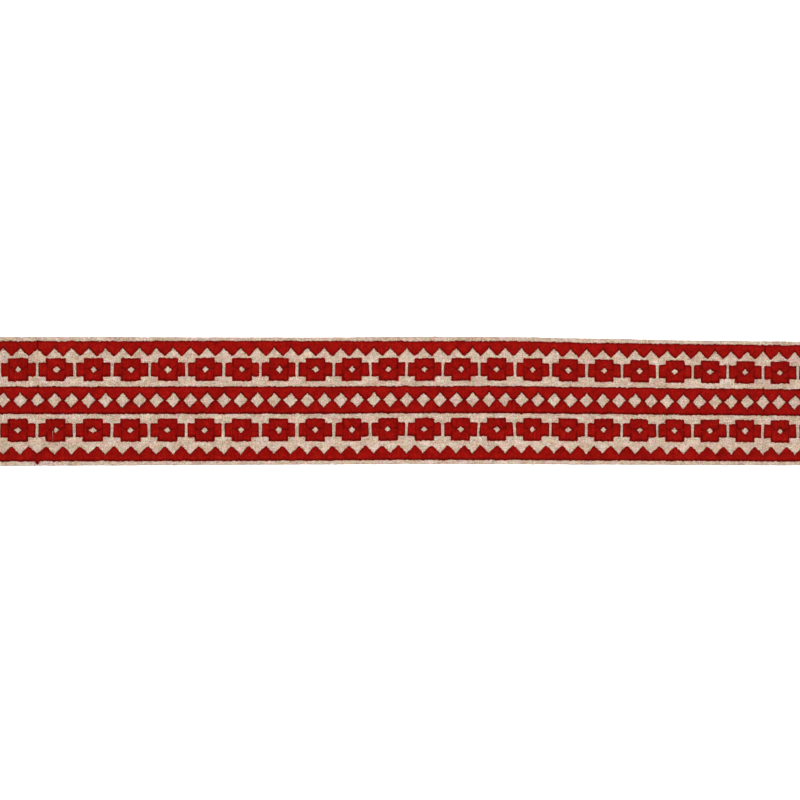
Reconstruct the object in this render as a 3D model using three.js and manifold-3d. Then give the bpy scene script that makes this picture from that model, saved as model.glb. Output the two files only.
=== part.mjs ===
// Embroidered tape trim: a flat cut length of linen tape with both long edges turned under,
// worked in red satin stitch with two toothed borders, a band of diamonds and two rows of
// stepped crosses.
//
// Millimetres. X runs along the tape, Y across it and Z up. The hems lie on Z = 0, and the
// origin is under the middle of the tape's box.
//
// A place on the tape is given as (s, t): s along it, t across it from the pattern's own
// centre line, before the cloth's slight wander. lie() turns it into a place in the frame.

import * as THREE from 'three';
import { mergeVertices } from 'three/addons/utils/BufferGeometryUtils.js';
import Module from 'manifold-3d';

// Pattern repeat
const DIAMOND_PITCH = 10;
const CROSS_PITCH = 22;
const CROSSES_IN_ROW = 24;
const CUT_OFF = 1;
const LENGTH = CROSSES_IN_ROW * CROSS_PITCH - CUT_OFF;
const HALF_LENGTH = LENGTH / 2;
const DIAMONDS_EACH_WAY = Math.floor(HALF_LENGTH / DIAMOND_PITCH);

// Ground cloth and its hems
const CLOTH_THICKNESS = 1.0;
const HEM_SLIT = 0.3;
const HEM_WIDTH = 10;
const FAR_EDGE = 37.5;
const NEAR_EDGE = -39.1;
const PATTERN_OFFSET = 0.5;
const CLOTH_TOP = 2 * CLOTH_THICKNESS + HEM_SLIT;
const FOLD_RADIUS = CLOTH_TOP / 2;
const FOLD_STEPS = 6;
const CLOTH_STEPS = 44;
const CLOTH_ROWS = [18, 0, -18];

// Satin stitch: how it stands on the cloth
const STITCH_GAP = 0.3;
const STITCH_HEIGHT = 0.6;
const STITCH_ROUNDING = 0.4;
const STITCH_BASE = CLOTH_TOP + STITCH_GAP;
const STITCH_TOP = STITCH_BASE + STITCH_HEIGHT;

// Borders, with teeth as deep as half their pitch before their tips are blunted
const TOOTH_DEPTH = DIAMOND_PITCH / 2;
const TIP_WIDTH = 0.8;
const SHORTEST_SPAN = 0.2;
const FAR_BORDER = { outer: 35.2, valley: 31.1, side: 1 };
const NEAR_BORDER = { outer: -36.3, valley: -32.3, side: -1 };

// Diamond band
const BAND_HALF_WIDTH = 8.2;
const DIAMOND_HALF_HEIGHT = 4.1;
const DIAMOND_HALF_WIDTH = 4.0;
const DIAMOND_LEAN = 0.18;
const CUT_CLEARANCE = 0.15;

// Stepped cross
const CROSS_REACH = 10.0;
const ARM_HALF_HEIGHT = 4.1;
const BLOCK_HALF_WIDTH = 5.75;
const BLOCK_HALF_HEIGHT = 6.8;
const HOLE_HALF_DIAGONAL = 2.15;
const CROSS_ROWS = [
  { name: 'far', t: 18.3, shift: -0.1 },
  { name: 'near', t: -17.85, shift: -0.2 },
];

// How the tape lies. Each row is a station along it. The wander columns say how far the
// pattern's centre line, the borders' outer edges and the folded edges lie off their straight
// lines, towards the far side. The lift columns say how far the two hems stand off the table.
const LIE_COLUMNS = [
  's', 'centre', 'farBorder', 'farEdge', 'nearBorder', 'nearEdge', 'farLift', 'nearLift',
];
const LIE = [
  [-264, -0.4, -0.8, -0.6, -0.2, -0.4, 0.8, 0.2],
  [-240, -0.4, -0.7, -0.5, -0.2, -0.4, 0.4, 0.0],
  [-180, -0.3, -0.4, -0.1, -0.1, -0.1, 0.0, 0.5],
  [-120, -0.1, 0.1, -0.2, -0.1, 0.1, 0.0, 0.0],
  [-60, 0.0, 0.4, 0.0, 0.1, 0.3, 0.5, 0.0],
  [0, 0.5, 0.5, 0.9, 0.5, 0.5, 0.0, 0.0],
  [60, 0.6, 0.9, 1.1, 0.4, 0.4, 0.0, 0.0],
  [120, 0.2, 0.0, 0.3, 0.0, 0.0, 0.6, 0.0],
  [180, -0.4, -0.4, -0.6, -0.3, -0.3, 0.0, 0.6],
  [240, -0.7, -0.8, -0.8, -0.7, -0.4, 0.0, 0.3],
  [264, -0.8, -0.9, -0.8, -0.8, -0.5, 0.2, 0.7],
];

// Value of one column of the table at s, eased between stations so that it never overshoots
function lieAt(column, s) {
  const c = LIE_COLUMNS.indexOf(column);
  const last = LIE.length - 2;
  let row = 0;
  while (row < last && s > LIE[row + 1][0]) row += 1;
  const [a, b] = [LIE[row], LIE[row + 1]];
  const along = THREE.MathUtils.smoothstep(s, a[0], b[0]);
  return THREE.MathUtils.lerp(a[c], b[c], along);
}

// Wander across the tape: straight between the five lines that the table gives
function wander(s, t) {
  const lines = [
    [NEAR_EDGE, 'nearEdge'],
    [NEAR_BORDER.outer, 'nearBorder'],
    [0, 'centre'],
    [FAR_BORDER.outer, 'farBorder'],
    [FAR_EDGE, 'farEdge'],
  ];
  const across = THREE.MathUtils.clamp(t, NEAR_EDGE, FAR_EDGE);
  const i = lines.findIndex((line, n) => n > 0 && across <= line[0]);
  const [[t0, from], [t1, to]] = [lines[i - 1], lines[i]];
  return THREE.MathUtils.mapLinear(across, t0, t1, lieAt(from, s), lieAt(to, s));
}

function lift(s, t) {
  return THREE.MathUtils.mapLinear(t, NEAR_EDGE, FAR_EDGE, lieAt('nearLift', s), lieAt('farLift', s));
}

function lie(s, t, height) {
  return [s, t + PATTERN_OFFSET + wander(s, t), height + lift(s, t)];
}

const SAME_POINT = 1e-3;

// Moves every vertex of a geometry to where place(x, y, z) says
function moveVertices(geometry, place) {
  const points = geometry.getAttribute('position');
  for (let i = 0; i < points.count; i += 1) {
    points.setXYZ(i, ...place(points.getX(i), points.getY(i), points.getZ(i)));
  }
  return geometry;
}

// One closed skin in which neighbouring faces share their vertices
function closed(geometry) {
  geometry.deleteAttribute('normal');
  geometry.deleteAttribute('uv');
  return mergeVertices(geometry, SAME_POINT);
}

// Folded edge and turned-under hem of one side, from the top of the fold to the slit's upper face
function hemPoints(edge) {
  const side = Math.sign(edge);
  const foldCentre = edge - side * FOLD_RADIUS;
  const hemEnd = edge - side * HEM_WIDTH;
  const points = [];
  for (let i = 0; i <= FOLD_STEPS; i += 1) {
    const angle = Math.PI / 2 - (Math.PI * i) / FOLD_STEPS;
    points.push(new THREE.Vector2(
      foldCentre + side * FOLD_RADIUS * Math.cos(angle),
      FOLD_RADIUS + FOLD_RADIUS * Math.sin(angle),
    ));
  }
  points.push(new THREE.Vector2(hemEnd, 0));
  points.push(new THREE.Vector2(hemEnd, CLOTH_THICKNESS));
  points.push(new THREE.Vector2(foldCentre, CLOTH_THICKNESS));
  points.push(new THREE.Vector2(foldCentre + side * HEM_SLIT / 2, FOLD_RADIUS));
  points.push(new THREE.Vector2(foldCentre, CLOTH_TOP - CLOTH_THICKNESS));
  return points;
}

// Linen strip: its folded section drawn across the tape and extruded along it
function clothGeometry() {
  const under = CLOTH_TOP - CLOTH_THICKNESS;
  const section = [
    ...hemPoints(FAR_EDGE),
    ...CLOTH_ROWS.map((t) => new THREE.Vector2(t, under)),
    ...hemPoints(NEAR_EDGE).reverse(),
    ...CLOTH_ROWS.map((t) => new THREE.Vector2(t, CLOTH_TOP)).reverse(),
  ];
  const geometry = new THREE.ExtrudeGeometry(new THREE.Shape(section), {
    depth: LENGTH,
    steps: CLOTH_STEPS,
    bevelEnabled: false,
  });
  moveVertices(geometry, (t, height, along) => lie(along - HALF_LENGTH, t, height));
  return closed(geometry);
}

// Columns of a toothed run: where along the tape its inner edge turns, and how far in a tooth
// has come there, from 0 in a valley to 1 at a tip
function toothColumns() {
  const flank = (DIAMOND_PITCH - TIP_WIDTH) / 2;
  const teeth = DIAMONDS_EACH_WAY + 1;
  const columns = [];
  for (let n = -teeth; n <= teeth; n += 1) {
    const valley = n * DIAMOND_PITCH;
    columns.push({ s: valley, depth: 0 });
    columns.push({ s: valley + flank, depth: 1 });
    columns.push({ s: valley + flank + TIP_WIDTH, depth: 1 });
  }
  return columns;
}

// Cuts the columns off at the tape's ends, where a tooth is left as deep as it is there
function trimmedColumns(columns) {
  const inside = columns.filter((column) => Math.abs(column.s) < HALF_LENGTH - SHORTEST_SPAN);
  const first = columns.indexOf(inside[0]);
  const depthAt = (s, a, b) => THREE.MathUtils.mapLinear(s, a.s, b.s, a.depth, b.depth);
  const before = columns[first - 1];
  const after = columns[first + inside.length];
  return [
    { s: -HALF_LENGTH, depth: depthAt(-HALF_LENGTH, before, inside[0]) },
    ...inside,
    { s: HALF_LENGTH, depth: depthAt(HALF_LENGTH, inside[inside.length - 1], after) },
  ];
}

// Toothed run of satin stitch: a long box whose corners are moved to the columns. Its upper
// face is drawn in by the rounding of the stitches.
function borderGeometry({ outer, valley, side }) {
  const columns = trimmedColumns(toothColumns());
  const tip = valley - side * (TOOTH_DEPTH - TIP_WIDTH / 2);
  const spans = columns.length - 1;
  const geometry = new THREE.BoxGeometry(spans, 2, 2, spans, 1, 1);
  moveVertices(geometry, (x, y, z) => {
    const column = columns[Math.round(x + spans / 2)];
    const drawnIn = z > 0 ? STITCH_ROUNDING : 0;
    const isOuter = y * side > 0;
    const innerEdge = THREE.MathUtils.lerp(valley, tip, column.depth);
    const t = isOuter ? outer - side * drawnIn : innerEdge + side * drawnIn;
    return lie(column.s, t, z > 0 ? STITCH_TOP : STITCH_BASE);
  });
  return closed(geometry);
}

const wasm = await Module();
wasm.setup();

function toManifold(geometry) {
  return new wasm.Manifold(new wasm.Mesh({
    numProp: 3,
    vertProperties: new Float32Array(geometry.getAttribute('position').array),
    triVerts: new Uint32Array(geometry.index.array),
  }));
}

function fromManifold(solid) {
  const mesh = solid.getMesh();
  const geometry = new THREE.BufferGeometry();
  geometry.setAttribute('position', new THREE.BufferAttribute(mesh.vertProperties, mesh.numProp));
  geometry.setIndex(new THREE.BufferAttribute(mesh.triVerts, 1));
  return geometry;
}

// Diamond band before its diamonds are opened, its upper face drawn in
function plainBandGeometry() {
  const width = 2 * BAND_HALF_WIDTH;
  const geometry = new THREE.BoxGeometry(LENGTH, width, STITCH_HEIGHT, CLOTH_STEPS, 1, 1);
  moveVertices(geometry, (s, t, z) => {
    const drawnIn = z > 0 ? STITCH_ROUNDING : 0;
    return lie(s, t - Math.sign(t) * drawnIn, z > 0 ? STITCH_TOP : STITCH_BASE);
  });
  return closed(geometry);
}

// Room of one bare diamond: a four-sided drum that widens upwards. Its far corner lies a little
// further along than its near one.
function diamondGeometry(centre) {
  const drum = new THREE.CylinderGeometry(1, 1, 2, 4).rotateX(Math.PI / 2);
  moveVertices(drum, (x, y, z) => {
    const grow = z > 0 ? STITCH_ROUNDING : 0;
    const s = centre + x * (DIAMOND_HALF_WIDTH + grow) + y * DIAMOND_LEAN;
    const t = y * (DIAMOND_HALF_HEIGHT + grow);
    return lie(s, t, z > 0 ? STITCH_TOP + CUT_CLEARANCE : STITCH_BASE - CUT_CLEARANCE);
  });
  return closed(drum);
}

function diamondBandGeometry() {
  let band = toManifold(plainBandGeometry());
  for (let n = -DIAMONDS_EACH_WAY; n <= DIAMONDS_EACH_WAY; n += 1) {
    band = band.subtract(toManifold(diamondGeometry(n * DIAMOND_PITCH)));
  }
  return fromManifold(band);
}

// Outline of a stepped cross about its middle, drawn in by inset
function crossOutline(inset) {
  const reach = CROSS_REACH - inset;
  const arm = ARM_HALF_HEIGHT - inset;
  const width = BLOCK_HALF_WIDTH - inset;
  const height = BLOCK_HALF_HEIGHT - inset;
  return [
    [reach, arm], [width, arm], [width, height],
    [-width, height], [-width, arm], [-reach, arm],
    [-reach, -arm], [-width, -arm], [-width, -height],
    [width, -height], [width, -arm], [reach, -arm],
  ].map(([x, y]) => new THREE.Vector2(x, y));
}

// Bare diamond in the middle of a cross, which grows where the stitches draw in
function holeOutline(inset) {
  const half = HOLE_HALF_DIAGONAL + inset;
  return [[half, 0], [0, half], [-half, 0], [0, -half]].map(([x, y]) => new THREE.Vector2(x, y));
}

// Island of satin stitch in the shape of a stepped cross, its upper face drawn in
function crossGeometry(centreS, centreT) {
  const base = [...crossOutline(0), ...holeOutline(0)];
  const top = [...crossOutline(STITCH_ROUNDING), ...holeOutline(STITCH_ROUNDING)];
  const shape = new THREE.Shape(crossOutline(0));
  shape.holes.push(new THREE.Path(holeOutline(0)));
  const geometry = new THREE.ExtrudeGeometry(shape, { depth: STITCH_HEIGHT, bevelEnabled: false });
  moveVertices(geometry, (x, y, z) => {
    const isTop = z > STITCH_HEIGHT / 2;
    const corner = base.findIndex((point) => Math.hypot(point.x - x, point.y - y) < SAME_POINT);
    const point = (isTop ? top : base)[corner];
    return lie(centreS + point.x, centreT + point.y, isTop ? STITCH_TOP : STITCH_BASE);
  });
  return closed(geometry);
}

const linen = () => new THREE.MeshStandardMaterial({ color: 0xd1b59f, roughness: 0.95, metalness: 0 });
const redThread = () => new THREE.MeshStandardMaterial({ color: 0x8f1310, roughness: 0.55, metalness: 0 });

function addPiece(group, name, geometry, material) {
  geometry.computeVertexNormals();
  const mesh = new THREE.Mesh(geometry, material);
  mesh.name = name;
  group.add(mesh);
}

const tapeTrim = new THREE.Group();
addPiece(tapeTrim, 'tape', clothGeometry(), linen());
addPiece(tapeTrim, 'border_far', borderGeometry(FAR_BORDER), redThread());
addPiece(tapeTrim, 'border_near', borderGeometry(NEAR_BORDER), redThread());
addPiece(tapeTrim, 'diamond_band', diamondBandGeometry(), redThread());
for (const row of CROSS_ROWS) {
  for (let n = 0; n < CROSSES_IN_ROW; n += 1) {
    const s = (n + 0.5 - CROSSES_IN_ROW / 2) * CROSS_PITCH + row.shift;
    const name = `cross_${row.name}_${String(n + 1).padStart(2, '0')}`;
    addPiece(tapeTrim, name, crossGeometry(s, row.t), redThread());
  }
}

export default tapeTrim;
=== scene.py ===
"""Embroidered tape trim: a flat length of linen tape with both long edges turned under, worked
in red satin stitch with two toothed borders, a band of diamonds and two rows of stepped crosses.

Metres. X runs along the tape, Y across it and Z up. A place on the tape is given as (s, t): s
along it, t across it from the pattern's own centre line, before the cloth's slight wander.
lie() turns such places into the frame. Every stitch is a copy of one modelled thread, bent to
its own length and height."""
import math

import bpy
import numpy as np
from mathutils import Matrix, Vector


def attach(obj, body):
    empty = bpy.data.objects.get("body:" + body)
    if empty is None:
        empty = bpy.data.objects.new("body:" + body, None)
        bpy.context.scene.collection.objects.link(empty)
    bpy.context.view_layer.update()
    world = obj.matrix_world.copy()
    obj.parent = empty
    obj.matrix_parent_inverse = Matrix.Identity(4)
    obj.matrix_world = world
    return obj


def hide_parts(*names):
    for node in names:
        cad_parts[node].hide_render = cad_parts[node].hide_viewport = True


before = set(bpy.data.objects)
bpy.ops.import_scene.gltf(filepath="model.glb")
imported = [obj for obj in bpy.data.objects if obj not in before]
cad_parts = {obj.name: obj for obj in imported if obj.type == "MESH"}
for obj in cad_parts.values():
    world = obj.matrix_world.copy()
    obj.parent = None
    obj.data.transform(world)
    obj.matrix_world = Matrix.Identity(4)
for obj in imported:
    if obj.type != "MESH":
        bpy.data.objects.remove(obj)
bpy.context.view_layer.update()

MM = 0.001

# Pattern repeat, and where the machine's longer repeat is joined on both sides of the middle
DIAMOND_PITCH = 10 * MM
CROSS_PITCH = 22 * MM
CROSSES_IN_ROW = 24
CUT_OFF = 1 * MM
LENGTH = CROSSES_IN_ROW * CROSS_PITCH - CUT_OFF
HALF_LENGTH = LENGTH / 2
JOIN_AT = 220 * MM

# Ground cloth and its hems
CLOTH_THICKNESS = 1.0 * MM
HEM_SLIT = 0.3 * MM
HEM_WIDTH = 10 * MM
FAR_EDGE = 37.5 * MM
NEAR_EDGE = -39.1 * MM
PATTERN_OFFSET = 0.5 * MM
CLOTH_TOP = 2 * CLOTH_THICKNESS + HEM_SLIT
FOLD_RADIUS = CLOTH_TOP / 2
YARN_PITCH = 0.52 * MM

# The folded edges: how far each lies over to the far side, how they waver, and where that begins
NEAR_EDGE_SHIFT = 0.22 * MM
FAR_EDGE_SHIFT = 0.15 * MM
EDGE_WAVER = (0.16 * MM, (31 * MM, 12 * MM, 4.6 * MM), 5)
EDGE_ROUGHNESS = 0.04 * MM
WAVER_FROM = 34 * MM
WAVER_FULL_AFTER = 3 * MM
PUCKER = 0.07 * MM
PUCKER_ALONG = (1, (23 * MM, 9 * MM, 5.3 * MM), 3)
PUCKER_ACROSS = (1, (17 * MM, 7 * MM), 4)
PUCKER_SLANT = 0.7
CLOTH_SEED = 7

# Spans of the cloth's grid: along the tape, across its top, and in each hem and each fold
SPANS_ALONG = 263
TOP_PLACES = 68
HEM_PLACES = 9
FOLD_PLACES = 9
SMOOTH_UP_TO = math.radians(50)

# Borders and diamond band
TOOTH_DEPTH = DIAMOND_PITCH / 2
TIP_BLUNTING = 0.4 * MM
FAR_BORDER = {"outer": 35.2 * MM, "valley": 31.1 * MM, "side": 1}
NEAR_BORDER = {"outer": -36.3 * MM, "valley": -32.3 * MM, "side": -1}
BAND_HALF_WIDTH = 8.1 * MM
DIAMOND_HALF_HEIGHT = 4.2 * MM
DIAMOND_HALF_WIDTH = 4.1 * MM
DIAMOND_LEAN = 0.18 * MM

# Stepped cross
CROSS_REACH = 10.0 * MM
ARM_HALF_HEIGHT = 4.1 * MM
BLOCK_HALF_WIDTH = 5.75 * MM
BLOCK_HALF_HEIGHT = 6.8 * MM
HOLE_HALF_DIAGONAL = 2.15 * MM
CORNER_RADIUS = 0.75 * MM
CROSS_ROWS = {
    "far": {"t": 18.3 * MM, "shift": -0.2 * MM},
    "near": {"t": -17.85 * MM, "shift": -0.3 * MM},
}

# Satin stitch: the thread, how far it spreads past the pattern's lines, and the pad under it.
# Stitches shorter than FULL_PAD_LENGTH lie on a lower pad.
STITCH_PITCH = 0.45 * MM
THREAD_SIDES = 5
THREAD_HALF_WIDTH = 0.30 * MM
THREAD_HEIGHT = 0.20 * MM
THREAD_SPREAD = 0.15 * MM
SLANT_SPREAD = 1.4 * THREAD_SPREAD
PAD_HEIGHT = 0.50 * MM
PAD_ROUNDING = 0.9 * MM
ENTRY_DEPTH = 0.12 * MM
SHORTEST_STITCH = 0.3 * MM
FULL_PAD_LENGTH = 2.4 * MM
LOWEST_PAD = 0.35

# Stations along a stitch. Each end has half of them, given as the distance from that end and
# the most of the stitch's length that it may be.
LOWER_STATIONS = ((0, 0), (0.18 * MM, 0.10), (0.60 * MM, 0.26), (1.80 * MM, 0.45))
UPPER_STATIONS = ((0, 0), (0.18 * MM, 0.10), (0.60 * MM, 0.26), (1.40 * MM, 0.45))
STATIONS = len(LOWER_STATIONS) + len(UPPER_STATIONS)

# How uneven single stitches are: along the tape, at their ends, in height, in lean and in tone
ALONG_JITTER = 0.025 * MM
END_JITTER = 0.08 * MM
HEIGHT_JITTER = 0.008 * MM
LEAN_JITTER = 0.05 * MM
TONE_JITTER = 0.02

# How far whole patches of stitches are moved, in waves that run in a few directions each
UNEVENNESS = 0.16 * MM
UNEVEN_WAVES = (11 * MM, 6 * MM, 3.7 * MM, 2.3 * MM)
UNEVEN_DIRECTIONS = 3
UNEVEN_SEEDS = (21, 22)

# Tone of the thread: the usual one is 0.5. Painted shade: each shape darkens from its edge to the
# depth where it is darkest, and is even again further in; right at the edge it is a little lighter.
# The painted rim shade is stronger at the stitches' lower ends, as the light comes from the far side.
BORDER_SHADE = 0.465
BAND_SHADE = 0.435
CROSS_SHADE = 0.45
RIM_DARKEST = 0.70 * MM
RIM_FADES_BY = 1.50 * MM
RIM_AT_EDGE = -0.4
RIM_SHADE_DARKNESS = 0.56
LOWER_END_RIM_SHADE = 1.08
UPPER_END_RIM_SHADE = 0.75

# Depth inside a shape, which sets the pad's height and the painted rim shade. The straight outer edges
# and the ends of the arms count as this much deeper, so that they are steeper there, and slanted inner
# edges gain depth this fast.
EDGE_DEPTH = 0.30 * MM
ARM_END_DEPTH = 0.70 * MM
INNER_STEEPNESS = 0.9
HOLE_STEEPNESS = 1.1
CENTRE_SEAM_DEPTH = 0.1 * MM
FAR_AWAY = 9 * MM

# Edges of the borders and the band: the extra sharpness of a bare corner, the bulge where two
# teeth meet, and how the inner and outer edges waver
SHARP_CORNER = 0.32 * MM
SHARP_CORNER_WIDTH = 0.55 * MM
BULGE = 0.2 * MM
BULGE_WIDTH = 0.7 * MM
BAND_BULGE_SHARE = 0.8
BORDER_INNER_WAVER = (0.12 * MM, (6.3 * MM, 2.9 * MM))
BORDER_OUTER_WAVER = (0.16 * MM, (21 * MM, 8.3 * MM, 3.7 * MM, 1.9 * MM))
BAND_INNER_WAVER = (0.12 * MM, (5.7 * MM, 2.3 * MM))
BAND_OUTER_WAVER = (0.14 * MM, (19 * MM, 7 * MM, 3.1 * MM, 1.7 * MM))

# Seams inside a cross: how high the one across the block climbs, and how deep both kinds lie,
# which brings the painted rim shade in along them
SEAM_RISE = 1.3 * MM
SEAM_RISE_JITTER = 0.7 * MM
SEAM_DEPTH = 0.92 * MM
SEAM_STEEPNESS = 0.22
ARM_SEAM_DEPTHS = {"left": 0.80 * MM, "right": 0.55 * MM}
ARM_SEAM_STEEPNESS = 0.8
ARM_SEAM_FADE = 0.15

# How uneven the crosses are
HOLE_JITTER = 0.12 * MM
HOLE_SIZE_JITTER = 0.06
HOLE_FLATTER = 0.1 * MM
CROSS_EDGE_JITTER = 0.10 * MM
CROSS_END_JITTER = 0.05 * MM
CROSS_WAVER = (0.12 * MM, (9 * MM, 3.3 * MM))
LEFT_TIP_SPREAD = 0.02 * MM
SPLAY = -0.15 * MM
SLIT_SPREAD = 0.05 * MM
CUT_SLOPE = 1.1
FIRST_CROSS_SEED = 100
ROW_SEED_STEP = 40

# Crosses that came out differently: how far the hole sits to the right, its half width and half
# height, from where on it is open, how much of the lower right corner is cut off, how far the
# lower left corner reaches out, and where a slit runs down from the hole
ODD_CROSSES = {
    "cross_far_03": {"hole_at": 0.45 * MM, "corner_cut": 1.76 * MM},
    "cross_near_03": {"hole_at": 0.15 * MM, "hole_from": -1.0 * MM, "slit": -1.70 * MM},
    "cross_near_04": {"hole_wide": 2.9 * MM, "hole_high": 1.95 * MM},
    "cross_far_22": {"left_corner": 1.0 * MM},
}

# Where the threads bunch up, mostly at the joins: the line they bunch on, where along it, how
# far they stand out there and how wide the bunch is
LUMPS = [
    ("border_far", -JOIN_AT, 0.35 * MM, 0.6 * MM),
    ("border_far", JOIN_AT, 0.50 * MM, 0.8 * MM),
    ("border_near", -JOIN_AT, 1.55 * MM, 1.0 * MM),
    ("band_far", -JOIN_AT, 0.45 * MM, 0.6 * MM),
    ("band_far", JOIN_AT, 0.75 * MM, 0.4 * MM),
    ("far_valley", -JOIN_AT, 0.6 * MM, 1.5 * MM),
    ("near_valley", -JOIN_AT, 0.8 * MM, 1.5 * MM),
    ("diamond_near", -JOIN_AT, 0.8 * MM, 1.5 * MM),
    ("diamond_near", -JOIN_AT - 3.4 * MM, 0.8 * MM, 1.4 * MM),
    ("diamond_far", -JOIN_AT - 3.6 * MM, 0.7 * MM, 1.2 * MM),
    ("diamond_far", 10.0 * MM, 0.6 * MM, 1.0 * MM),
    ("diamond_near", 12.2 * MM, 0.5 * MM, 0.8 * MM),
    ("diamond_near", 62.3 * MM, 1.6 * MM, 0.8 * MM),
]

# Painted shadows in the creases between stitches: place along the tape, and from where to where across
# it
CREASE_SHADOWS = [
    (-JOIN_AT, 31.0 * MM, 35.5 * MM),
    (-212.2 * MM, 30.5 * MM, 33.5 * MM),
    (64.0 * MM, -4.4 * MM, -0.6 * MM),
    (221.2 * MM, 31.0 * MM, 35.5 * MM),
    (-JOIN_AT, -39.0 * MM, -35.2 * MM),
    (-JOIN_AT, 7.4 * MM, 9.5 * MM),
    (JOIN_AT, 35.0 * MM, 36.5 * MM),
    (220.2 * MM, 4.5 * MM, 9.0 * MM),
    (220.3 * MM, -8.5 * MM, -4.3 * MM),
]
CREASE_SHADOW_WIDTH = 0.35 * MM
CREASE_SHADOW_DARKNESS = 0.5

# How the tape lies, in millimetres: the stations along it, how far its lines wander towards the
# far side there, and how far the two hems stand off the table
LIE_COLUMNS = ("s", "centre", "farBorder", "farEdge", "nearBorder", "nearEdge", "farLift", "nearLift")
LIE = np.array([
    [-264, -0.4, -0.8, -0.6, -0.2, -0.4, 0.8, 0.2],
    [-240, -0.4, -0.7, -0.5, -0.2, -0.4, 0.4, 0.0],
    [-180, -0.3, -0.4, -0.1, -0.1, -0.1, 0.0, 0.5],
    [-120, -0.1, 0.1, -0.2, -0.1, 0.1, 0.0, 0.0],
    [-60, 0.0, 0.4, 0.0, 0.1, 0.3, 0.5, 0.0],
    [0, 0.5, 0.5, 0.9, 0.5, 0.5, 0.0, 0.0],
    [60, 0.6, 0.9, 1.1, 0.4, 0.4, 0.0, 0.0],
    [120, 0.2, 0.0, 0.3, 0.0, 0.0, 0.6, 0.0],
    [180, -0.4, -0.4, -0.6, -0.3, -0.3, 0.0, 0.6],
    [240, -0.7, -0.8, -0.8, -0.7, -0.4, 0.0, 0.3],
    [264, -0.8, -0.9, -0.8, -0.8, -0.5, 0.2, 0.7],
]) * MM

# Linen: noise patterns in cycles a metre, and how strongly each shows. Neighbouring yarns read
# their noise YARN_STEP apart, and warp and weft each in a layer of their own.
SLUBS = 420
FLECKS = 1300
PATCHES_ALONG = 110
PATCHES_ACROSS = 160
PINK_PATCHES = 260
GREEN_PATCHES = 220
YARN_STEP = 7.3
WARP_LAYER = 1.5
WEFT_LAYER = 8.5
YARN_CONTRAST = 1.6
FLECK_CONTRAST = 1.3
PATCH_CONTRAST = 0.55
# Painted shade in the hollows of the weave: how much darker the cloth is there than on the yarns'
# crowns
WEAVE_HOLLOW_SHADE = 0.20
MEAN_ROUNDNESS = 0.73

# Red thread: noise patterns in cycles a metre, and how strongly each shows
MOTTLE = 900
THREAD_PATCHES = 210
HUE_PATCHES = 480
STRANDS = (5200, 420, 2000)
MOTTLE_CONTRAST = 0.9
THREAD_PATCH_CONTRAST = 0.45
STRAND_CONTRAST = 0.15

# Camera and studio
LENS = 85
SENSOR = 36
NEAREST_SEEN = 10 * MM
VIEW_DISTANCE = 1139.7 * MM
VIEW_YAW = math.radians(5.444)
VIEW_ROLL = math.radians(0.124)
VIEW_CENTRE = Vector((-4.16 * MM, 0.8 * MM, 2.9 * MM))
KEY_LIGHT = {"place": (0.0, 0.16, 0.98), "size": 0.5, "power": 8.6}
FILL_LIGHT = {"place": (0.2, -0.8, 1.3), "size": 1.0, "power": 7.5}
SURROUND_STRENGTH = 0.80
TABLE_SIZE = 60
TABLE_HEIGHT = -0.1 * MM


# The lie of the tape

def lie_at(column, s):
    """One column of the table at s, eased between its stations."""
    values = LIE[:, LIE_COLUMNS.index(column)]
    stations = LIE[:, 0]
    row = np.clip(np.searchsorted(stations, s) - 1, 0, len(stations) - 2)
    part = np.clip((s - stations[row]) / (stations[row + 1] - stations[row]), 0, 1)
    part = part * part * (3 - 2 * part)
    return values[row] * (1 - part) + values[row + 1] * part


def wander(s, t):
    """How far the place (s, t) lies off its straight line."""
    lines = [(NEAR_EDGE, "nearEdge"), (NEAR_BORDER["outer"], "nearBorder"), (0.0, "centre"),
             (FAR_BORDER["outer"], "farBorder"), (FAR_EDGE, "farEdge")]
    across = np.clip(t, NEAR_EDGE, FAR_EDGE)
    total = np.zeros_like(across)
    for (t0, start), (t1, end) in zip(lines, lines[1:]):
        part = (across - t0) / (t1 - t0)
        inside = (part >= 0) & ((part < 1) | (t1 == FAR_EDGE) & (part <= 1))
        total = np.where(inside, lie_at(start, s) * (1 - part) + lie_at(end, s) * part, total)
    return total


def lie(s, t, height):
    """Places of the frame for places on the tape, as an array of (x, y, z)."""
    part = (t - NEAR_EDGE) / (FAR_EDGE - NEAR_EDGE)
    lift = lie_at("nearLift", s) * (1 - part) + lie_at("farLift", s) * part
    return np.stack([s, t + PATTERN_OFFSET + wander(s, t), height + lift], axis=-1)


def wobble(s, size, waves, seed):
    """Smooth unevenness along s: a few sines of the given wavelengths with fixed random phases."""
    phases = np.random.default_rng(seed).uniform(0, 2 * math.pi, len(waves))
    total = sum(np.sin(2 * math.pi * s / wave + phase) for wave, phase in zip(waves, phases))
    return size * total / len(waves)


# Shader graph

class Value:
    """One output in a shader graph. Python's operators on it add Math nodes."""

    def __init__(self, graph, socket):
        self.graph = graph
        self.socket = socket

    def math(self, operation, *others):
        inputs = dict(enumerate((self, *others)))
        return self.graph.node("Math", {"operation": operation}, inputs)

    def __add__(self, other):
        return self.math("ADD", other)

    def __sub__(self, other):
        return self.math("SUBTRACT", other)

    def __rsub__(self, other):
        return self.graph.node("Math", {"operation": "SUBTRACT"}, {0: other, 1: self})

    def __mul__(self, other):
        return self.math("MULTIPLY", other)

    def __truediv__(self, other):
        return self.math("DIVIDE", other)

    __radd__ = __add__
    __rmul__ = __mul__


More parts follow.
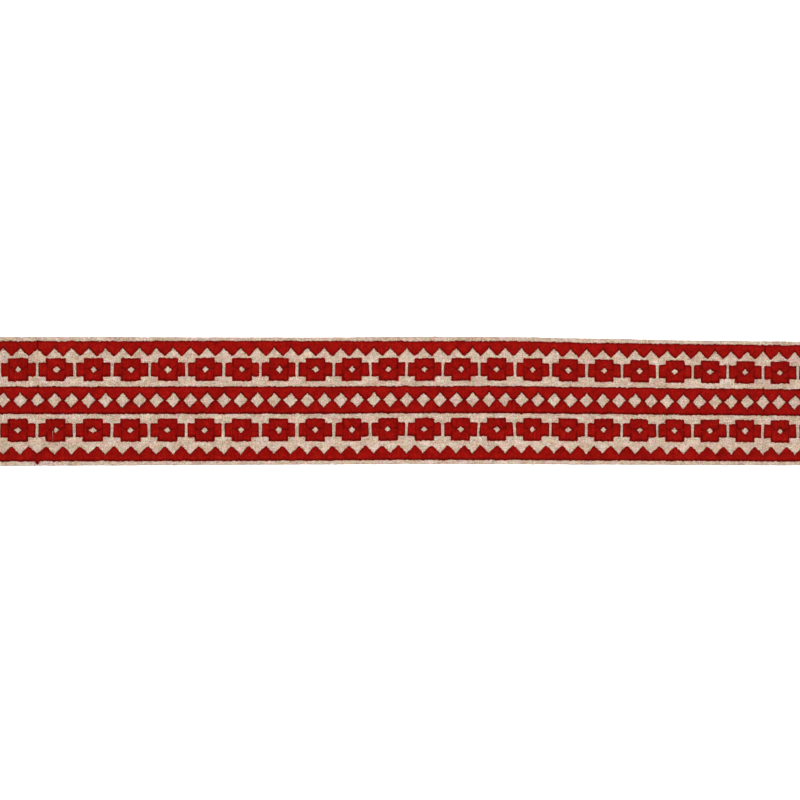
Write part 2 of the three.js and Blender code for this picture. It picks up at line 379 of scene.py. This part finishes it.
class Graph:
    """The node tree of one material."""

    def __init__(self, name):
        self.material = bpy.data.materials.new(name)
        self.material.use_nodes = True
        self.tree = self.material.node_tree
        self.tree.nodes.clear()

    def node(self, kind, settings=None, inputs=None, output=0):
        """Adds a node: first its settings, then its sockets' values or links. Gives one output."""
        made = self.tree.nodes.new("ShaderNode" + kind)
        for key, value in (settings or {}).items():
            if key == "stops":
                ramp = made.color_ramp.elements
                for place, colour in value[2:]:
                    ramp.new(place)
                for element, (place, colour) in zip(ramp, value):
                    element.position = place
                    element.color = (*colour, 1)
            else:
                setattr(made, key, value)
        for key, value in (inputs or {}).items():
            if isinstance(value, Value):
                self.tree.links.new(value.socket, made.inputs[key])
            else:
                made.inputs[key].default_value = value
        return Value(self, made.outputs[output]) if made.outputs else None

    def mix(self, factor, first, second, blend="MIX"):
        """Mixes two colours."""
        settings = {"data_type": "RGBA", "blend_type": blend}
        return self.node("Mix", settings, {0: factor, 6: first, 7: second}, 2)

    def multiply(self, first, second):
        """Multiplies two colours."""
        return self.mix(1.0, first, second, "MULTIPLY")

    def noise(self, place, detail=2.0, roughness=0.6, scale=1.0):
        """Soft random noise, about 0.5 on average."""
        inputs = {"Vector": place, "Scale": scale, "Detail": detail, "Roughness": roughness}
        return self.node("TexNoise", None, inputs)

    def stretched(self, place, x, y, z):
        """Place with each direction multiplied, so that a pattern gets longer or shorter there."""
        return self.node("Mapping", {"vector_type": "POINT"}, {"Vector": place, "Scale": (x, y, z)})

    def finish(self, shader):
        """Puts the shader on the surface and gives the material."""
        self.node("OutputMaterial", None, {"Surface": shader})
        return self.material


def linen_material():
    """Heathered oatmeal linen in plain weave, from the cloth's own flat coordinates. Each yarn has
    its own shade, which changes slowly along it, and warp and weft come up in turn. The hollows
    between the yarns carry painted shade."""
    g = Graph("linen")
    flat = g.node("UVMap", {"uv_map": "flat"})
    along = g.node("SeparateXYZ", None, {0: flat}, 0)
    across = g.node("SeparateXYZ", None, {0: flat}, 1)
    weft_count = along / YARN_PITCH
    warp_count = across / YARN_PITCH
    weft_number = weft_count.math("FLOOR")
    warp_number = warp_count.math("FLOOR")
    warp_on_top = (weft_number + warp_number).math("MODULO", 2)
    warp_place = {0: along * SLUBS, 1: warp_number * YARN_STEP, 2: WARP_LAYER}
    weft_place = {0: weft_number * YARN_STEP, 1: across * SLUBS, 2: WEFT_LAYER}
    warp = g.noise(g.node("CombineXYZ", None, warp_place))
    weft = g.noise(g.node("CombineXYZ", None, weft_place))
    yarn = warp_on_top * warp + (1 - warp_on_top) * weft
    crossing = (weft_count * math.pi).math("SINE") * (warp_count * math.pi).math("SINE")
    roundness = crossing.math("ABSOLUTE").math("POWER", 0.5)
    flecks = g.noise(g.stretched(flat, FLECKS, FLECKS, 1))
    patches = g.noise(g.stretched(flat, PATCHES_ALONG, PATCHES_ACROSS, 1))
    pink = g.noise(g.stretched(flat, PINK_PATCHES, PINK_PATCHES, 1), 3.0, 0.8)
    green = g.noise(g.stretched(flat, GREEN_PATCHES, GREEN_PATCHES, 7), 3.0, 0.8)
    tone = 0.5 + (yarn - 0.5) * YARN_CONTRAST + (flecks - 0.5) * FLECK_CONTRAST
    tone = tone + (patches - 0.5) * PATCH_CONTRAST
    # painted shade: darker in the hollows between the yarns, lighter on their crowns
    tone = tone + (roundness - MEAN_ROUNDNESS) * WEAVE_HOLLOW_SHADE
    cloth = g.node("ValToRGB", {"stops": [
        (0.0, (0.159, 0.106, 0.075)),
        (0.5, (0.355, 0.264, 0.199)),
        (1.0, (0.617, 0.494, 0.393)),
    ]}, {0: tone})
    pinker = g.mix((pink - 0.5) * 4.0 + 0.5, (0.93, 1.06, 1.05, 1), (1.08, 0.93, 0.97, 1))
    greener = g.mix((green - 0.5) * 5.0 + 0.5, (1.02, 0.98, 1.09, 1), (0.98, 1.02, 0.90, 1))
    paler = g.mix((patches - 0.5) * 3.0 + 0.5, (1.0, 0.98, 0.95, 1), (1.0, 1.02, 1.05, 1))
    colour = g.multiply(g.multiply(g.multiply(cloth, pinker), greener), paler)
    height = roundness + yarn * 0.5
    bump = g.node("Bump", None, {"Strength": 0.6, "Distance": 0.10 * MM, "Height": height})
    shader = g.node("BsdfPrincipled", None, {
        "Base Color": colour, "Roughness": 0.92, "Specular IOR Level": 0.12, "Normal": bump,
    })
    return g.finish(shader)


def thread_material():
    """Red embroidery thread. Each stitch carries its own tone, with painted shade along the shapes'
    rims and painted shadow in creases, as an attribute.
    """
    g = Graph("red_thread")
    place = g.node("TexCoord", None, None, 3)
    # the attribute holds each stitch's tone together with its painted rim shade and crease shadows
    tone = g.node("Attribute", {"attribute_name": "tone"}, None, 2)
    mottle = g.noise(g.stretched(place, MOTTLE, MOTTLE, MOTTLE))
    patches = g.noise(g.stretched(place, THREAD_PATCHES, THREAD_PATCHES, THREAD_PATCHES), 1.0, 0.5)
    strands = g.noise(g.stretched(place, *STRANDS))
    hue = g.noise(g.stretched(place, HUE_PATCHES, HUE_PATCHES, HUE_PATCHES), 1.0, 0.5)
    shade = tone + (mottle - 0.5) * MOTTLE_CONTRAST + (patches - 0.5) * THREAD_PATCH_CONTRAST
    shade = shade + (strands - 0.5) * STRAND_CONTRAST
    red = g.node("ValToRGB", {"stops": [
        (0.0, (0.057, 0.0006, 0.0003)),
        (0.5, (0.192, 0.0032, 0.0017)),
        (1.0, (0.360, 0.0125, 0.0080)),
    ]}, {0: shade})
    tint = g.mix((hue - 0.40) * 3.0, (1.0, 0.75, 1.25, 1), (1.0, 1.35, 0.80, 1))
    bump = g.node("Bump", None, {"Strength": 0.35, "Distance": 0.04 * MM, "Height": strands})
    shader = g.node("BsdfPrincipled", None, {
        "Base Color": g.multiply(red, tint), "Roughness": 0.52, "Specular IOR Level": 0.40,
        "Specular Tint": (0.65, 0.025, 0.016, 1), "Normal": bump,
    })
    return g.finish(shader)


def table_material():
    """Plain white table top with a hardly visible grain."""
    g = Graph("white_table")
    place = g.node("TexCoord", None, None, 3)
    grain = g.noise(place, 2.0, 0.5, 40.0)
    colour = g.mix(grain, (0.90, 0.90, 0.90, 1), (0.93, 0.93, 0.93, 1))
    return g.finish(g.node("BsdfPrincipled", None, {
        "Base Color": colour, "Roughness": 0.9, "Specular IOR Level": 0.1,
    }))


# Camera and studio

def add_camera():
    """Looks down on the tape, leaning a few degrees towards its right end, as in the photo."""
    ahead = Vector((math.sin(VIEW_YAW), 0, -math.cos(VIEW_YAW)))
    level = Vector((math.cos(VIEW_YAW), 0, math.sin(VIEW_YAW)))
    far = Vector((0, 1, 0))
    right = math.cos(VIEW_ROLL) * level + math.sin(VIEW_ROLL) * far
    up = -math.sin(VIEW_ROLL) * level + math.cos(VIEW_ROLL) * far
    data = bpy.data.cameras.new("camera")
    data.lens = LENS
    data.sensor_width = SENSOR
    data.clip_start = NEAREST_SEEN
    camera = bpy.data.objects.new("camera", data)
    bpy.context.scene.collection.objects.link(camera)
    turned = Matrix((right, up, -ahead)).transposed().to_4x4()
    camera.matrix_world = Matrix.Translation(VIEW_CENTRE - ahead * VIEW_DISTANCE) @ turned
    bpy.context.scene.camera = camera


def add_light(name, place, size, power):
    """A round soft light that shines on the middle of the tape."""
    data = bpy.data.lights.new(name, "AREA")
    data.shape = "DISK"
    data.size = size
    data.energy = power
    light = bpy.data.objects.new(name, data)
    light.location = place
    ahead = Vector((0, 0, 0)) - Vector(place)
    light.rotation_euler = ahead.to_track_quat("-Z", "Y").to_euler()
    bpy.context.scene.collection.objects.link(light)


def add_studio():
    """White table and pale surround, a soft key light almost overhead and a broad fill light."""
    scene = bpy.context.scene
    scene.view_settings.view_transform = "Standard"
    scene.view_settings.look = "None"
    deselect()
    bpy.ops.mesh.primitive_plane_add(size=TABLE_SIZE, location=(0, 0, TABLE_HEIGHT))
    table = bpy.context.object
    table.name = "table"
    table.data.materials.append(table_material())
    world = bpy.data.worlds.new("studio")
    world.use_nodes = True
    background = world.node_tree.nodes["Background"]
    background.inputs["Color"].default_value = (1, 1, 1, 1)
    background.inputs["Strength"].default_value = SURROUND_STRENGTH
    scene.world = world
    add_light("key", **KEY_LIGHT)
    add_light("fill", **FILL_LIGHT)


def deselect():
    bpy.ops.object.select_all(action="DESELECT")


def activate(piece):
    deselect()
    piece.select_set(True)
    bpy.context.view_layer.objects.active = piece


# Ground cloth

def cloth_path():
    """Stations across the flat cloth from the near hem's raw edge to the far hem's, each as
    (distance across the flat cut, t, height of the cloth's middle layer)."""
    middle = CLOTH_THICKNESS / 2
    bend = FOLD_RADIUS - middle
    points = []
    for edge, order in ((NEAR_EDGE, 1), (FAR_EDGE, -1)):
        side = math.copysign(1, edge)
        centre = edge - side * FOLD_RADIUS
        hem = [(t, middle) for t in np.linspace(edge - side * HEM_WIDTH, centre, HEM_PLACES)[:-1]]
        turns = np.linspace(-math.pi / 2, math.pi / 2, FOLD_PLACES)
        fold = [(centre + side * bend * math.cos(a), FOLD_RADIUS + bend * math.sin(a)) for a in turns]
        points.append((hem + fold)[::order])
    top = np.linspace(points[0][-1][0], points[1][0][0], TOP_PLACES)[1:-1]
    line = np.array(points[0] + [(t, CLOTH_TOP - middle) for t in top] + points[1])
    steps = np.hypot(*np.diff(line, axis=0).T)
    return np.column_stack([np.concatenate([[0], np.cumsum(steps)]), line])


def lay_cloth(s, t, height):
    """Places of the frame for the cloth's middle layer, with its puckers and wavering edges."""
    on_top = height > FOLD_RADIUS
    pucker = wobble(s + PUCKER_SLANT * t, *PUCKER_ALONG) * wobble(t, *PUCKER_ACROSS)
    side = np.sign(t)
    near_fold = np.clip((np.abs(t) - WAVER_FROM) / WAVER_FULL_AFTER, 0, 1)
    roughness = EDGE_ROUGHNESS * np.random.default_rng(CLOTH_SEED).standard_normal(len(s))
    waver = wobble(s, *EDGE_WAVER) + roughness
    shift = np.where(side < 0, NEAR_EDGE_SHIFT, FAR_EDGE_SHIFT)
    t = t + near_fold * (side * waver + shift)
    height = height + np.where(on_top, PUCKER * pucker, 0)
    return lie(s, t, height)


def make_cloth():
    """A flat grid of the cut strip is laid along the folded section, then given its thickness."""
    path = cloth_path()
    spans_across = len(path) - 1
    deselect()
    bpy.ops.mesh.primitive_grid_add(x_subdivisions=SPANS_ALONG, y_subdivisions=spans_across, size=1)
    cloth = bpy.context.object
    cloth.name = "linen_tape"
    mesh = cloth.data
    points = np.empty(len(mesh.vertices) * 3)
    mesh.vertices.foreach_get("co", points)
    points = points.reshape(-1, 3)
    s = points[:, 0] * LENGTH
    row = np.rint((points[:, 1] + 0.5) * spans_across).astype(int)
    flat_w, t, height = path[row].T
    mesh.vertices.foreach_set("co", lay_cloth(s, t, height).ravel())
    loops = np.empty(len(mesh.loops), dtype=int)
    mesh.loops.foreach_get("vertex_index", loops)
    flat = mesh.uv_layers[0]
    flat.name = "flat"
    flat.data.foreach_set("uv", np.column_stack([s + HALF_LENGTH, flat_w])[loops].ravel())
    mesh.update()
    solidify = cloth.modifiers.new("thickness", "SOLIDIFY")
    solidify.thickness = CLOTH_THICKNESS
    solidify.offset = 0
    activate(cloth)
    bpy.ops.object.modifier_apply(modifier=solidify.name)
    bpy.ops.object.shade_smooth_by_angle(angle=SMOOTH_UP_TO)
    cloth.data.materials.append(linen_material())
    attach(cloth, "root")
    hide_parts("tape")


# Satin stitch

def model_thread():
    """One stitch's thread, modelled straight: a flattened rod, extruded station by station along
    Y. Returns its corners as (across, height), their stations, and its faces."""
    deselect()
    bpy.ops.mesh.primitive_circle_add(
        vertices=THREAD_SIDES, radius=1, fill_type="NGON", rotation=(math.pi / 2, 0, 0))
    thread = bpy.context.object
    bpy.ops.object.transform_apply(location=False, rotation=True, scale=False)
    bpy.ops.object.mode_set(mode="EDIT")
    bpy.ops.mesh.select_mode(type="FACE")
    for station in range(STATIONS - 1):
        bpy.ops.mesh.extrude_region_move(TRANSFORM_OT_translate={"value": (0, 1, 0)})
    bpy.ops.mesh.select_all(action="SELECT")
    bpy.ops.mesh.normals_make_consistent(inside=False)
    bpy.ops.object.mode_set(mode="OBJECT")
    across, along, up = np.array([vertex.co[:] for vertex in thread.data.vertices]).T
    faces = [list(face.vertices) for face in thread.data.polygons]
    bpy.data.objects.remove(thread)
    across = across * THREAD_HALF_WIDTH / np.abs(across).max()
    up = (up - up.min()) / (up.max() - up.min()) * THREAD_HEIGHT
    stations = np.rint(along - along.min()).astype(int)
    return across, up, stations, faces


def unevenness(s, t):
    """How far the machine has set a stitch's places beside where the pattern has them."""
    moves = []
    for seed in UNEVEN_SEEDS:
        random = np.random.default_rng(seed)
        total = np.zeros_like(s)
        for wave in UNEVEN_WAVES:
            for direction in random.uniform(0, 2 * math.pi, UNEVEN_DIRECTIONS):
                along = s * math.cos(direction) + t * math.sin(direction)
                total += np.sin(2 * math.pi * along / wave + random.uniform(0, 2 * math.pi))
        moves.append(total * UNEVENNESS / math.sqrt(len(UNEVEN_WAVES) * UNEVEN_DIRECTIONS))
    return moves


def set_stations(stitches, random):
    """Each stitch's place along the tape, its stations' places across it, and its length."""
    count = len(stitches)
    s = stitches[:, 0] + random.normal(0, ALONG_JITTER, count)
    low = stitches[:, 1] - THREAD_SPREAD + random.normal(0, END_JITTER, count)
    high = stitches[:, 2] + THREAD_SPREAD + random.normal(0, END_JITTER, count)
    length = np.maximum(high - low, SHORTEST_STITCH)
    lower = [low + np.minimum(far, length * share) for far, share in LOWER_STATIONS]
    upper = [high - np.minimum(far, length * share) for far, share in UPPER_STATIONS[::-1]]
    return s, np.stack(lower + upper, axis=1), length


def thread_heights(depth, length, random):
    """Height of the thread's underside at each station, on a pad that is round at its edges."""
    depth = np.clip(depth, 0, PAD_ROUNDING)
    crown = np.sqrt(1 - (1 - depth / PAD_ROUNDING) ** 2)
    share = np.clip(length / FULL_PAD_LENGTH, LOWEST_PAD, 1)[:, None]
    heights = CLOTH_TOP + PAD_HEIGHT * crown * share
    heights[:, [0, -1]] = CLOTH_TOP - ENTRY_DEPTH
    heights[:, 1:-1] += random.normal(0, HEIGHT_JITTER, (len(length), 1))
    return heights


def thread_tones_and_shade(s, t, depth, shade, random):
    """Tone at each of the thread's corners, with painted shade along the shape's rim and painted
    shadow in its creases.
    """
    # painted shade along the rim, stronger at the lower ends, whose slopes face away from the far-side
    # light
    rim_shade = np.interp(depth, (0, RIM_DARKEST, RIM_FADES_BY), (RIM_AT_EDGE, 1, 0))
    rim_shade = rim_shade * np.where(THREAD_STATIONS < STATIONS / 2, LOWER_END_RIM_SHADE, UPPER_END_RIM_SHADE)
    tones_and_shade = shade + random.normal(0, TONE_JITTER, (len(s), 1)) - RIM_SHADE_DARKNESS * rim_shade
    # painted shadow in the creases between stitches
    for crease_s, t0, t1 in CREASE_SHADOWS:
        beside = np.exp(-((s - crease_s) / CREASE_SHADOW_WIDTH) ** 2)
        tones_and_shade = tones_and_shade - CREASE_SHADOW_DARKNESS * beside * ((t > t0) & (t < t1))
    return tones_and_shade


def satin(name, stitches, inside, shade, seed):
    """One embroidered piece. stitches has a row (s, lower end, upper end, lean) for each stitch,
    inside(s, t) gives how deep a place lies inside the stitched shape, and shade is the thread's
    tone there. The piece replaces the node of its own name."""
    random = np.random.default_rng(seed)
    s, stops, length = set_stations(stitches, random)
    depth = inside(np.repeat(s[:, None], STATIONS, axis=1), stops) + THREAD_SPREAD
    heights = thread_heights(depth, length, random)
    lean = stitches[:, 3] + random.normal(0, LEAN_JITTER, len(s))
    slant = lean[:, None] * np.linspace(-1, 1, STATIONS)
    corner_s = s[:, None] + slant[:, THREAD_STATIONS] + THREAD_ACROSS
    corner_t = stops[:, THREAD_STATIONS]
    moved_s, moved_t = unevenness(corner_s, corner_t)
    corner_heights = heights[:, THREAD_STATIONS] + THREAD_UP
    places = lie(corner_s + moved_s, corner_t + moved_t, corner_heights)
    # the depth here sets the painted rim shade
    depth = inside(corner_s, corner_t) + THREAD_SPREAD
    tones_and_shade = thread_tones_and_shade(corner_s, corner_t, depth, shade, random)
    add_stitches(name, places.reshape(-1, 3), tones_and_shade.ravel())


def add_stitches(name, places, tones_and_shade):
    """Joins one node's threads in a mesh, each with the faces of the modelled one."""
    first_corners = range(0, len(places), len(THREAD_STATIONS))
    faces = [[first + corner for corner in face] for first in first_corners for face in THREAD_FACES]
    mesh = bpy.data.meshes.new("stitches_" + name)
    mesh.from_pydata(places.tolist(), [], faces)
    attribute = mesh.attributes.new("tone", "FLOAT", "POINT")
    attribute.data.foreach_set("value", tones_and_shade)
    mesh.shade_smooth()
    mesh.materials.append(RED_THREAD)
    piece = bpy.data.objects.new("stitches_" + name, mesh)
    bpy.context.scene.collection.objects.link(piece)
    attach(piece, "root")
    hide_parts(name)


def stitch_places(start, end):
    """Where stitches lie along s between two ends, evenly spaced."""
    count = max(int(round((end - start) / STITCH_PITCH)), 1)
    return start + (np.arange(count) + 0.5) * (end - start) / count


# Borders and diamond band

def lump(line, s):
    """How far the bunched threads of one line stand out at s."""
    total = np.zeros_like(s)
    for of_line, place, size, width in LUMPS:
        if of_line == line:
            total += size * np.exp(-((s - place) / width) ** 4)
    return total


def tooth(s, lean=0.0):
    """Distance along the tape from the nearest valley of the teeth."""
    return np.abs((s - lean + DIAMOND_PITCH / 2) % DIAMOND_PITCH - DIAMOND_PITCH / 2)


def sharp_corner(s, lean=0.0):
    """How much shorter the stitches are at the very corner of a bare triangle or diamond."""
    return SHARP_CORNER * np.exp(-(tooth(s, lean) / SHARP_CORNER_WIDTH) ** 2)


def bulge(s, lean=0.0):
    """Where two teeth meet, the stitches reach a little further out."""
    return BULGE * np.exp(-(tooth(s, lean) / BULGE_WIDTH) ** 2)


def upright(s, one_edge, other_edge):
    """Rows (s, lower end, upper end, lean) of upright stitches between two edges."""
    edges = np.sort(np.stack([one_edge, other_edge]), axis=0)
    return np.column_stack([s, *edges, np.zeros_like(s)])


def make_border(name, border, valley_line, seed):
    """Toothed border: stitches from its straight outer edge to its toothed inner edge."""
    side, outer, valley = border["side"], border["outer"], border["valley"]
    s = stitch_places(-HALF_LENGTH, HALF_LENGTH)
    reach = np.minimum(tooth(s), TOOTH_DEPTH - TIP_BLUNTING) - sharp_corner(s)
    inner_edge = valley - side * (reach + lump(valley_line, s))
    inner_edge += wobble(s, *BORDER_INNER_WAVER, seed)
    outer_edge = outer + side * (bulge(s) + lump(name, s))
    outer_edge += wobble(s, *BORDER_OUTER_WAVER, seed + 5)

    def inside(at_s, at_t):
        to_outer = side * (outer - at_t) + lump(name, at_s) + EDGE_DEPTH
        to_flank = (side * (at_t - valley) + tooth(at_s)) * INNER_STEEPNESS + lump(valley_line, at_s)
        to_tip = side * (at_t - valley) + TOOTH_DEPTH - TIP_BLUNTING
        to_end = HALF_LENGTH - np.abs(at_s)
        return np.minimum.reduce([to_outer, to_flank, to_tip, to_end])

    satin(name, upright(s, inner_edge, outer_edge), inside, BORDER_SHADE, seed)


def make_diamond_band(seed):
    """Two toothed runs that meet tip to tip and leave the diamonds bare."""
    steepness = DIAMOND_HALF_HEIGHT / DIAMOND_HALF_WIDTH
    s = stitch_places(-HALF_LENGTH, HALF_LENGTH)
    runs = []
    for side, line in ((1, "far"), (-1, "near")):
        lean = side * DIAMOND_LEAN
        inner_edge = DIAMOND_HALF_HEIGHT + SLANT_SPREAD - tooth(s, lean) * steepness
        inner_edge += sharp_corner(s, lean) - lump("diamond_" + line, s)
        inner_edge += wobble(s, *BAND_INNER_WAVER, seed + side)
        inner_edge = np.maximum(inner_edge, 0)
        outer_edge = BAND_HALF_WIDTH + bulge(s, lean) * BAND_BULGE_SHARE + lump("band_" + line, s)
        outer_edge += wobble(s, *BAND_OUTER_WAVER, seed + 3 * side)
        runs.append(upright(s, side * inner_edge, side * outer_edge))

    def inside(at_s, at_t):
        from_centre = tooth(at_s, np.sign(at_t) * DIAMOND_LEAN)
        bunched = np.where(at_t > 0, lump("diamond_far", at_s), lump("diamond_near", at_s))
        to_diamond = from_centre + np.abs(at_t) - DIAMOND_HALF_HEIGHT + bunched
        to_end = HALF_LENGTH - np.abs(at_s)
        to_seam = np.abs(at_t) + CENTRE_SEAM_DEPTH
        to_outer = BAND_HALF_WIDTH - np.abs(at_t) + EDGE_DEPTH
        return np.minimum.reduce([to_outer, to_diamond * INNER_STEEPNESS, to_seam, to_end])

    satin("diamond_band", np.concatenate(runs), inside, BAND_SHADE, seed)


# Stepped crosses

def seam_height(x, rise):
    """The block's two halves meet in a seam that climbs outwards from the hole's side corners."""
    beside = np.clip(np.abs(x) - HOLE_HALF_DIAGONAL, 0, None) / (BLOCK_HALF_WIDTH - HOLE_HALF_DIAGONAL)
    return np.where(x < 0, rise[0], rise[1]) * beside


def cross_depth(x, y, hole, rise):
    """How deep a place lies inside a stepped cross, from the cross's middle."""
    arms = np.minimum(CROSS_REACH - np.abs(x) + ARM_END_DEPTH, ARM_HALF_HEIGHT - np.abs(y))
    block = np.minimum(BLOCK_HALF_WIDTH - np.abs(x), BLOCK_HALF_HEIGHT - np.abs(y))
    to_hole = np.abs(x - hole["at"]) / hole["wide"] + np.abs(y) / hole["high"] - 1
    to_hole = to_hole * HOLE_HALF_DIAGONAL * HOLE_STEEPNESS
    to_hole = np.where(x < hole["from"], FAR_AWAY, to_hole)
    to_seam = SEAM_STEEPNESS * np.abs(y - seam_height(x, rise)) + SEAM_DEPTH
    to_seam += np.where(np.abs(x) < BLOCK_HALF_WIDTH, 0, FAR_AWAY)
    to_arm = ARM_SEAM_STEEPNESS * np.abs(np.abs(x) - BLOCK_HALF_WIDTH)
    to_arm += ARM_SEAM_FADE * np.abs(y - SEAM_RISE)
    to_arm += np.where(x > 0, ARM_SEAM_DEPTHS["right"], ARM_SEAM_DEPTHS["left"])
    return np.minimum.reduce([np.maximum(arms, block), to_hole, to_seam, to_arm])


def rounding(distance):
    """How much shorter a stitch is that lies this far from a shape's side, at a round corner."""
    out = max(CORNER_RADIUS - distance, 0)
    return CORNER_RADIUS - math.sqrt(CORNER_RADIUS ** 2 - out ** 2)


def arm_rows(side, block_edge, tip):
    """One arm's stitches, from the block to the arm's round outer corners."""
    reach = CROSS_REACH + (THREAD_SPREAD if side == 1 else LEFT_TIP_SPREAD)
    ends = sorted((side * BLOCK_HALF_WIDTH + block_edge, side * reach + tip))
    rows = []
    for x in stitch_places(*ends):
        corner = rounding(max(ends[1] - x, 0) if side == 1 else max(x - ends[0], 0))
        rows.append((x, -ARM_HALF_HEIGHT + corner, ARM_HALF_HEIGHT - corner))
    return rows


def block_rows(start, end, hole, rise, odd):
    """The block's stitches in an upper and a lower half, which meet in the seam or at the hole."""
    rows = []
    for x in stitch_places(start, end):
        corner = rounding(min(x - start, end - x))
        cut = max(0.0, x - (end - odd.get("corner_cut", 0.0))) * CUT_SLOPE
        seam = float(seam_height(x, rise))
        gap = max((1 - abs(x - hole["at"]) / hole["wide"]) * hole["high"], 0) * (x > hole["from"])
        rows.append((x, seam + gap, BLOCK_HALF_HEIGHT - corner))
        if "slit" in odd:
            beside_slit = x - odd["slit"]
            if abs(beside_slit) < STITCH_PITCH / 2:
                continue
            if abs(beside_slit) < 1.5 * STITCH_PITCH:
                x -= math.copysign(SLIT_SPREAD, beside_slit)
        rows.append((x, -BLOCK_HALF_HEIGHT + max(corner, cut), seam - gap))
    return rows


def cross_stitches(name, seed):
    """Rows (x, lower end, upper end, lean) about the cross's middle, and the function that tells
    how deep a place lies inside the cross."""
    random = np.random.default_rng(seed)
    odd = ODD_CROSSES.get(name, {})
    half_height = HOLE_HALF_DIAGONAL - HOLE_FLATTER
    hole = {
        "at": odd.get("hole_at", random.normal(0, HOLE_JITTER)),
        "wide": odd.get("hole_wide", HOLE_HALF_DIAGONAL * random.normal(1, HOLE_SIZE_JITTER)),
        "high": odd.get("hole_high", half_height * random.normal(1, HOLE_SIZE_JITTER)),
        "from": odd.get("hole_from", -FAR_AWAY),
    }
    left, block_left, block_right, right = random.normal(0, CROSS_EDGE_JITTER, 4)
    rise = random.normal(SEAM_RISE, SEAM_RISE_JITTER, 2)
    start = -BLOCK_HALF_WIDTH - THREAD_SPREAD + block_left
    end = BLOCK_HALF_WIDTH + THREAD_SPREAD + block_right
    rows = arm_rows(-1, block_left, left) + arm_rows(1, block_right, right)
    rows += block_rows(start, end, hole, rise, odd)
    if "left_corner" in odd:
        for x in stitch_places(start - odd["left_corner"], start):
            rows.append((x, -BLOCK_HALF_HEIGHT, -ARM_HALF_HEIGHT))
    rows = np.array(rows)
    uneven = random.normal(0, CROSS_END_JITTER, len(rows))
    splay = SPLAY * rows[:, 0] / CROSS_REACH
    rows[:, 1:] += wobble(rows[:, 0], *CROSS_WAVER, seed)[:, None] + uneven[:, None]

    def inside(x, y):
        return cross_depth(x, y, hole, rise)

    return np.column_stack([rows, splay]), inside


def make_crosses():
    """Both rows of crosses, each from the left end of the tape to the right."""
    for row_number, (row, place) in enumerate(CROSS_ROWS.items()):
        for n in range(CROSSES_IN_ROW):
            name = f"cross_{row}_{n + 1:02d}"
            seed = FIRST_CROSS_SEED + ROW_SEED_STEP * row_number + n
            centre = (n + 0.5 - CROSSES_IN_ROW / 2) * CROSS_PITCH + place["shift"]
            rows, depth = cross_stitches(name, seed)
            rows = rows + (centre, place["t"], place["t"], 0)

            def inside(at_s, at_t, centre=centre, t=place["t"], depth=depth):
                return depth(at_s - centre, at_t - t)

            satin(name, rows, inside, CROSS_SHADE, seed)


add_camera()
add_studio()
RED_THREAD = thread_material()
THREAD_ACROSS, THREAD_UP, THREAD_STATIONS, THREAD_FACES = model_thread()
make_cloth()
make_border("border_far", FAR_BORDER, "far_valley", seed=11)
make_border("border_near", NEAR_BORDER, "near_valley", seed=12)
make_diamond_band(seed=13)
make_crosses()
